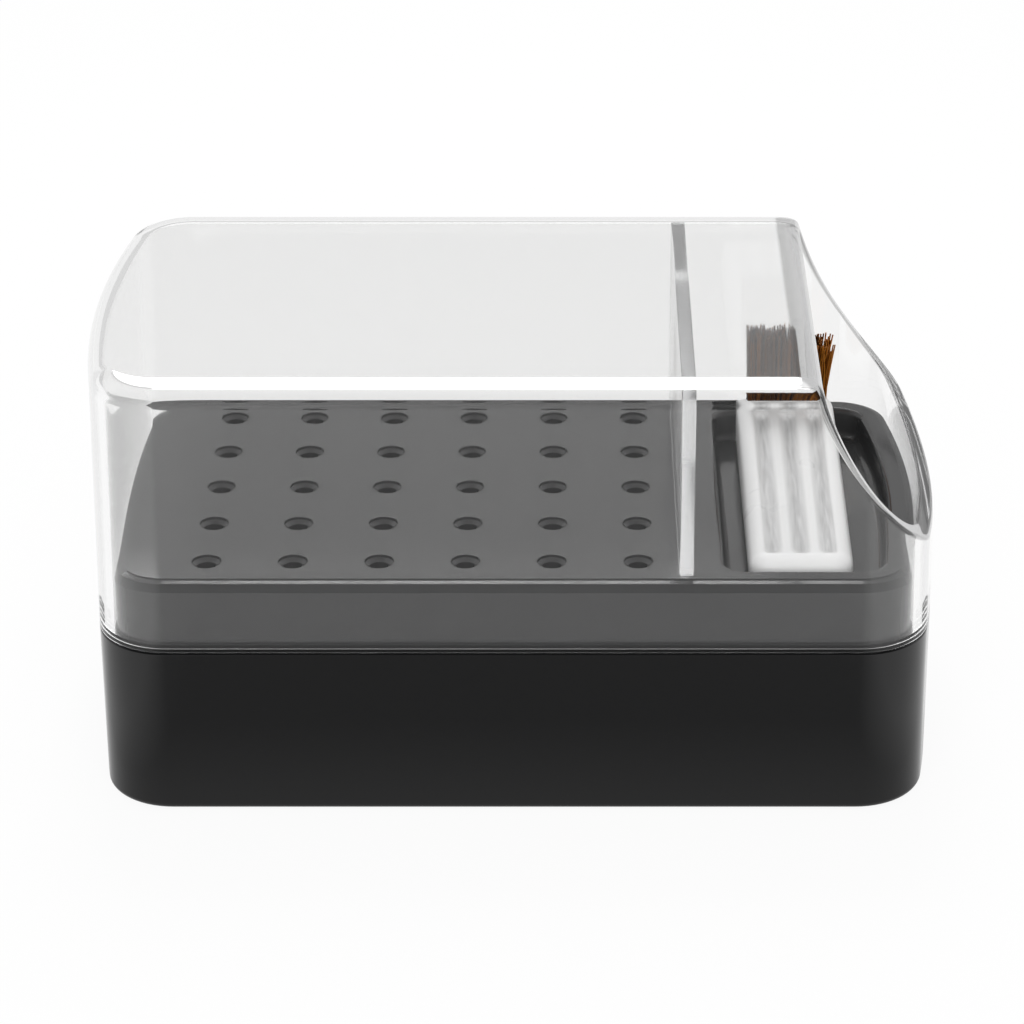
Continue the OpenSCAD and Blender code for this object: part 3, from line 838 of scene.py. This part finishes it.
def brush_handle():
    """Sections along y: a rectangle with rounded corners that draws in near both ends, as a grid whose rows
    are sections and whose columns run round them. Flutes lower the top; normals come from the slopes of the
    grid itself."""
    ends = 3.0 * (1 - np.cos(np.linspace(0.0, quarter_turn, 19)))
    between_ends = np.linspace(-21.9, 22.3, 90)[1:-1]
    y = np.concatenate([handle_y0 + ends, between_ends, handle_y1 - ends[::-1]])[:, None]
    s0, s1 = y - handle_y0, handle_y1 - y
    inward = draw_back(np.minimum(s0, s1), 3.0)
    x0, x1 = handle_x + inward, handle_x + handle_w - inward
    z0 = recess_z + draw_back(np.minimum(s0, s1), 2.2)
    rise = (head_z - front_z) / (head_y - handle_y0)
    bend = 1.2
    ahead = head_y - y
    slope = np.where(ahead > bend, ahead, np.where(ahead < -bend, 0.0, (ahead + bend) ** 2 / (4 * bend)))
    z1 = head_z - rise * slope - draw_back(s0, 2.4) - draw_back(s1, 1.0)
    low = np.minimum(2.2, 0.48 * (z1 - z0))
    a = np.linspace(0.0, quarter_turn, 10)[None]
    t = np.linspace(0.0, 1.0, 61)[None, 1:-1]
    line = x1 - low + (x0 - x1 + 2 * low) * t
    mid = handle_x + handle_w / 2
    off = (line[..., None] - mid - flute_pitch * np.array([-1, 0, 1])) / (flute_w / 2)
    dip = (np.maximum(1 - off ** 2, 0.0) ** 1.3).sum(axis=-1)
    dip = flute_depth * dip * soft_step((y - handle_y0 - 2.0) / 1.6) * soft_step((head_y - 0.3 - y) / 1.6)
    x = np.concatenate([
        x0 + low - low * np.cos(a), x1 - low + low * np.sin(a), x1 - low + low * np.cos(a), line,
        x0 + low - low * np.sin(a)], axis=1)
    z = np.concatenate([
        z0 + low - low * np.sin(a), z0 + low - low * np.cos(a), z1 - low + low * np.sin(a), z1 - dip,
        z1 - low + low * np.cos(a)], axis=1)
    points = np.dstack([x, np.broadcast_to(y, x.shape), z])
    ring = np.concatenate([points[:, -2:], points, points[:, :2]], axis=1)
    along = np.gradient(points, axis=0)
    round_ = np.gradient(ring, axis=1)[:, 2:-2]
    normals = np.cross(along, round_)
    normals /= np.maximum(np.linalg.norm(normals, axis=2, keepdims=True), 1e-9)
    normals[0], normals[-1] = (0, -1, 0), (0, 1, 0)
    parts = [faces((points, normals), True), cap(points[0], (0, -1, 0)), cap(points[-1], (0, 1, 0))]
    # The flute mark is the depth of the flutes' dip, which the finish turns into painted shade.
    flute = np.zeros_like(points)
    flute[:, 3 * a.size:-a.size] = (dip / flute_depth)[..., None]
    flute = np.concatenate([
        faces((flute, flute), True)[0][..., 0], *[np.zeros(part[0].shape[:2]) for part in parts[1:]]])
    return parts, [("flute", flute)]


handle, flutes = brush_handle()
finish_piece("brush_handle_body", handle, "brush", "brush_handle", "white_plastic", flutes)

# %% [markdown]
# The bristles are a block of bronze wires. A block with a striped picture on it would look flat, so every
# wire is there: a thin five-sided rod with a bend of its own, of uneven length, leaning out a little at
# the right side. All of them are worked out together as one array: wire, ring, side.

# %% Brush bristles
def brush_bristles():
    """Wires on a grid, as rods of five sides. Along a wire t runs from 0 to 1: its middle line rises by the
    length times t, and moves aside by the lean times t^1.6 plus the bow times 4 t (1 - t). Each ring is the
    middle plus the wire's radius in five directions."""
    rng = np.random.default_rng(7)
    across, along = 32, 13
    i, j = [v.ravel() for v in np.meshgrid(np.arange(across), np.arange(along), indexing="ij")]
    count = len(i)
    right, back = i / (across - 1), j / (along - 1)
    base = np.column_stack([34.5 + 11.3 * right, 19.25 + 4.7 * back, np.full(count, 39.1)])
    base[:, :2] += rng.uniform(-0.05, 0.05, (count, 2))
    length = 10.5 - 0.5 * rng.random(count) ** 0.7 - 0.9 * (rng.random(count) < 0.25) * rng.random(count)
    length -= 0.45 * (1 + np.sin(0.9 * i + 1.7 * np.sin(0.8 * j))) * (0.5 + 0.5 * np.sin(0.37 * i + j))
    stray = (rng.random(count) < 0.06) * rng.uniform(0.2, 0.7, count)
    spread = 0.09 + 0.3 * right ** 5
    lean_x = -0.1 + 0.9 * right ** 3 + stray * (right - 0.3) + rng.normal(0, 1, count) * spread
    lean_y = 0.15 * (2 * back - 1) + rng.normal(0, 0.09, count)
    bow = rng.normal(0, 0.07, (count, 2))
    t = np.array([0.0, 0.35, 0.7, 1.0])[None, :]
    line = base[:, None] + np.dstack([
        lean_x[:, None] * t ** 1.6 + bow[:, :1] * t * (1 - t) * 4,
        lean_y[:, None] * t ** 1.6 + bow[:, 1:] * t * (1 - t) * 4,
        length[:, None] * t])
    line[..., 0] = np.clip(line[..., 0], 34.25, 47.1)
    angle = np.linspace(0.0, 2 * math.pi, 6)[None, None, :-1] + rng.uniform(0, 6.28, count)[:, None, None]
    way = np.stack([np.cos(angle), np.sin(angle), 0 * angle], -1)
    radius = 0.145 * np.array([1.0, 1.0, 0.97, 0.8])[None, :, None, None]
    points = line[:, :, None] + radius * way
    normals = np.broadcast_to(way, points.shape)
    # Each wire's tone is partly random and partly painted light: wires at the right end are painted lighter
    # and more golden.
    wire_tone_and_light = np.clip(rng.normal(0.13, 0.13, count) + 0.5 * right ** 4, 0.0, 1.0)

    def rod_faces(a):
        a = np.concatenate([a, a[:, :, :1]], axis=2)
        corners = [a[:, :-1, :-1], a[:, :-1, 1:], a[:, 1:, 1:], a[:, 1:, :-1]]
        return np.stack(corners, axis=3).reshape(-1, 4, 3)

    def end_faces(a):
        return np.concatenate([a[:, [0, 1, 2, 3]], a[:, [0, 3, 4, 4]]])

    tip_n = np.broadcast_to(np.array([0.0, 0.0, 1.0]), points[:, -1].shape)
    parts = [
        (rod_faces(points), rod_faces(normals)),
        (end_faces(points[:, -1]), end_faces(tip_n)),
        (end_faces(points[:, 0]), end_faces(-tip_n))]
    rod_tones_and_light, end_tones_and_light = np.repeat(wire_tone_and_light, 15 * 4), np.tile(np.repeat(wire_tone_and_light, 4), 2)
    return parts, [("wire_tone_and_light", np.concatenate([rod_tones_and_light, end_tones_and_light, end_tones_and_light]))]


wires, wire_tones_and_light = brush_bristles()
finish_piece("brush_bristles_wires", wires, "brush", "brush_bristles", "bronze_wire", wire_tones_and_light)

# %% [markdown]
# The case stands on a plain pale floor in a white studio. Both could be plain white everywhere, but then
# every wall of the case would mirror white and wash out. Photographers put dark cards round a product for
# that. A shader can ask how a ray came to it, so here the surroundings are white to the eye and dimmer in
# a mirror.

# %% Kinds of ray
def seen_ray(tree, path):
    """1 for a ray from the eye, from a mirror or through clear plastic, else 0."""
    kinds = ["Is Camera Ray", "Is Glossy Ray", "Is Transmission Ray"]
    return largest(tree, *[path.outputs[kind] for kind in kinds])


def mirrored_ray(tree, path, further=0.0):
    """1 for a ray that the first wall mirrors, at once or from its far skin after three steps, else 0. The
    sky counts one step further than a surface."""
    glossy, bent = path.outputs["Is Glossy Ray"], path.outputs["Is Transmission Ray"]
    steps = path.outputs["Ray Depth"]
    mirrored_only = calc(tree, "SUBTRACT", glossy, bent, clamp=True)
    at_once = calc(tree, "MULTIPLY", mirrored_only, calc(tree, "LESS_THAN", steps, 1.5 + further))
    return largest(tree, at_once, calc(tree, "COMPARE", steps, 3.0 + further, 0.5))


# %% [markdown]
# The floor is a flat sheet that glows to the eye with most of its share, so it looks white, and keeps a
# little plain paper so that a soft shadow still shows. In a mirror it is darkest in front of the case.

# %% Floor
def studio_floor():
    """A flat grid of faces. The glow's level in a mirror runs from the front level to the levels behind and
    beside the case, by the place on the floor."""
    reach_m, lines = 1.6, 9
    side = np.linspace(-reach_m, reach_m, lines)
    x, y = np.meshgrid(side, side)
    mesh = bpy.data.meshes.new("studio_floor")
    index = np.arange(lines * lines).reshape(lines, lines)
    quads = np.stack([index[:-1, :-1], index[:-1, 1:], index[1:, 1:], index[1:, :-1]], -1).reshape(-1, 4)
    mesh.from_pydata(np.column_stack([x.ravel(), y.ravel(), 0 * x.ravel()]).tolist(), [], quads.tolist())
    floor = bpy.data.objects.new("studio_floor", mesh)
    scene.collection.objects.link(floor)
    finish, tree, shader = new_finish(
        "floor_paper", Base_Color=(0.93, 0.93, 0.93, 1.0), Specular_IOR_Level=0.1)
    wire(tree, between(tree, noise(tree, 40.0), 0.75, 0.9), shader.inputs["Roughness"])
    path = add(tree, "ShaderNodeLightPath")
    glow_share, front_level, beside_level, behind_level = 0.92, 0.33, 0.92, 1.0
    spot = add(tree, "ShaderNodeSeparateXYZ")
    wire(tree, add(tree, "ShaderNodeTexCoord").outputs["Object"], spot.inputs[0])
    away = calc(tree, "ABSOLUTE", spot.outputs["X"])
    behind = between(tree, spot.outputs["Y"], front_level, behind_level, -0.06, 0.0)
    beside = between(tree, away, front_level, beside_level, 0.05, 0.08)
    mirror = add(tree, "ShaderNodeMapRange", to_min=1.0)
    wire(tree, mirrored_ray(tree, path), mirror.inputs["Value"])
    wire(tree, largest(tree, behind, beside), mirror.inputs["To Max"])
    glow = add(tree, "ShaderNodeEmission")
    wire(tree, mirror.outputs["Result"], glow.inputs["Strength"])
    either(tree, calc(tree, "MULTIPLY", seen_ray(tree, path), glow_share), shader, glow, "Material Output")
    mesh.materials.append(finish)
    print("floor:", len(mesh.polygons), "faces")


studio_floor()

# %% [markdown]
# The air gives soft light from all round. A wide softbox behind gives most of the rest, and a fill in
# front lifts the shadows. Both would show as glare, so they are kept out of mirrors. What is mirrored
# instead are two cards behind: one draws the long highlight on the cover, and one the thin line along the
# tray's edge.

# %% Light
def studio_world():
    """White to the eye, dim high up in front, dimmer where it is mirrored, and a softer white as light."""
    light_level, front_level, mirrored_level = 0.46, 0.15, 0.68
    world = bpy.data.worlds.new("studio_air")
    scene.world = world
    world.use_nodes = True
    tree = world.node_tree
    light = tree.nodes["Background"]
    light.inputs["Color"].default_value = (1.0, 1.0, 1.0, 1.0)
    light.inputs["Strength"].default_value = light_level
    path = add(tree, "ShaderNodeLightPath")
    toward = add(tree, "ShaderNodeSeparateXYZ")
    wire(tree, add(tree, "ShaderNodeTexCoord").outputs["Generated"], toward.inputs[0])
    front = between(tree, toward.outputs["Y"], 1.0, 0.0, -0.4, 0.1)
    raised = between(tree, toward.outputs["Z"], 0.0, 1.0, 0.0, 0.12)
    sky = between(tree, calc(tree, "MULTIPLY", front, raised), 1.0, front_level, 0.0, 1.0)
    mirror = between(tree, mirrored_ray(tree, path, 1.0), 1.0, mirrored_level, 0.0, 1.0)
    white = add(tree, "ShaderNodeBackground", color=(1.0, 1.0, 1.0, 1.0))
    wire(tree, calc(tree, "MULTIPLY", sky, mirror), white.inputs["Strength"])
    either(tree, seen_ray(tree, path), light, white, "World Output")


def softbox(name, place, tilt, size, radiance, mirrored_too=True):
    """An area light tilted about X by degrees: its power is pi times its area times the radiance of its
    face. A light can be kept out of mirrors and of what is seen through the cover."""
    data = bpy.data.lights.new(name, "AREA")
    data.shape = "RECTANGLE"
    data.size, data.size_y = size
    data.energy = math.pi * size[0] * size[1] * radiance
    lamp = bpy.data.objects.new(name, data)
    lamp.location = place
    lamp.rotation_euler = (math.radians(tilt), 0.0, 0.0)
    lamp.visible_glossy = mirrored_too
    lamp.visible_transmission = mirrored_too
    scene.collection.objects.link(lamp)


studio_world()
softbox("long_softbox", (-0.0075, 0.312, 0.432), -39, (0.2, 0.2), 6.2, False)
softbox("stripe_card", (-0.0075, 0.340, 0.411), -39, (0.2, 0.17), 1.3)
softbox("edge_card", (-0.0075, 0.273, 0.463), -39, (0.2, 0.06), 5.0)
softbox("front_fill", (0.0, -1.1, 0.55), 63, (1.1, 0.8), 4.6, False)
